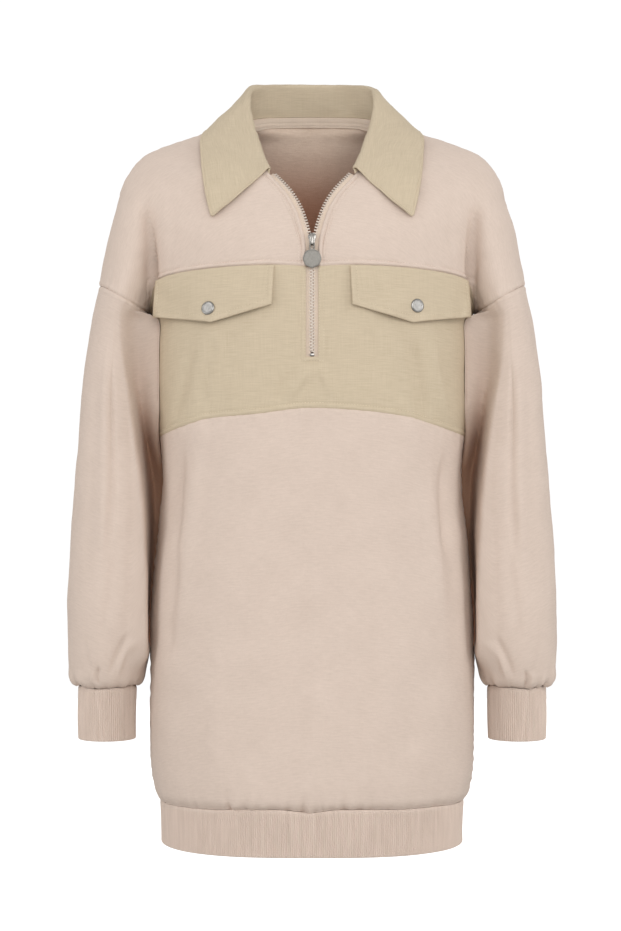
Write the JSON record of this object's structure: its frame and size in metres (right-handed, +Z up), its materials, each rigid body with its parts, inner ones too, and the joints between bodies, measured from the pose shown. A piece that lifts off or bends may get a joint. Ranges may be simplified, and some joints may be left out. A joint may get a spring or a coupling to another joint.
{
  "type": "half-zip tunic top",
  "caption": "Long-sleeved half-zip tunic top in brushed fleece with a woven collar, chest panel and pointed pocket flaps, rib cuffs and hem band.",
  "frame": {"origin": "between the two shoulder-neck points, on the wearer's shoulders, in the plane of the side seams", "axes": "+Z up along the wearer, -Y to the front where the zip is, +X to the wearer's left"},
  "size_m": [0.544, 0.2463, 0.86],
  "materials": {
    "fleece": "pale pink-beige brushed fleece knit, matt with a soft nap",
    "twill": "sage-khaki plain woven cotton, matt",
    "rib_knit": "fine one-by-one rib knit in the fleece's colour, matt",
    "zip_tape": "woven zip tape, matt",
    "neck_tape": "pink-beige herringbone tape, matt",
    "nickel": "nickel plate, satin",
    "satin_metal": "satin silver metal with a brighter rim",
    "zip_metal": "bright silver zip metal"
  },
  "bodies": {
    "garment": {"front_yoke_left": "fleece", "front_yoke_right": "fleece", "front_lower": "fleece", "back": "fleece", "sleeve_left": "fleece", "sleeve_right": "fleece", "chest_panel": "twill", "collar": "twill", "flap_left": "twill", "flap_right": "twill", "cuff_left": "rib_knit", "cuff_right": "rib_knit", "hem_band": "rib_knit", "zip_tape_left": "zip_tape", "zip_tape_right": "zip_tape", "neck_tape": "neck_tape", "snap_cap_left": "nickel", "snap_cap_right": "nickel", "zip_chain_left": "zip_metal", "zip_chain_right": "zip_metal", "zip_slider": "zip_metal", "zip_stop": "zip_metal"},
    "zip_pull": {"zip_pull": "satin_metal"}
  },
  "joints": [
    {"name": "pull_swing", "type": "hinge", "parent": "garment", "child": "zip_pull", "pos_m": [0, -0.11977, -0.13498], "axis": [-1, 0, 0], "range_deg": [0, 140]}
  ]
}
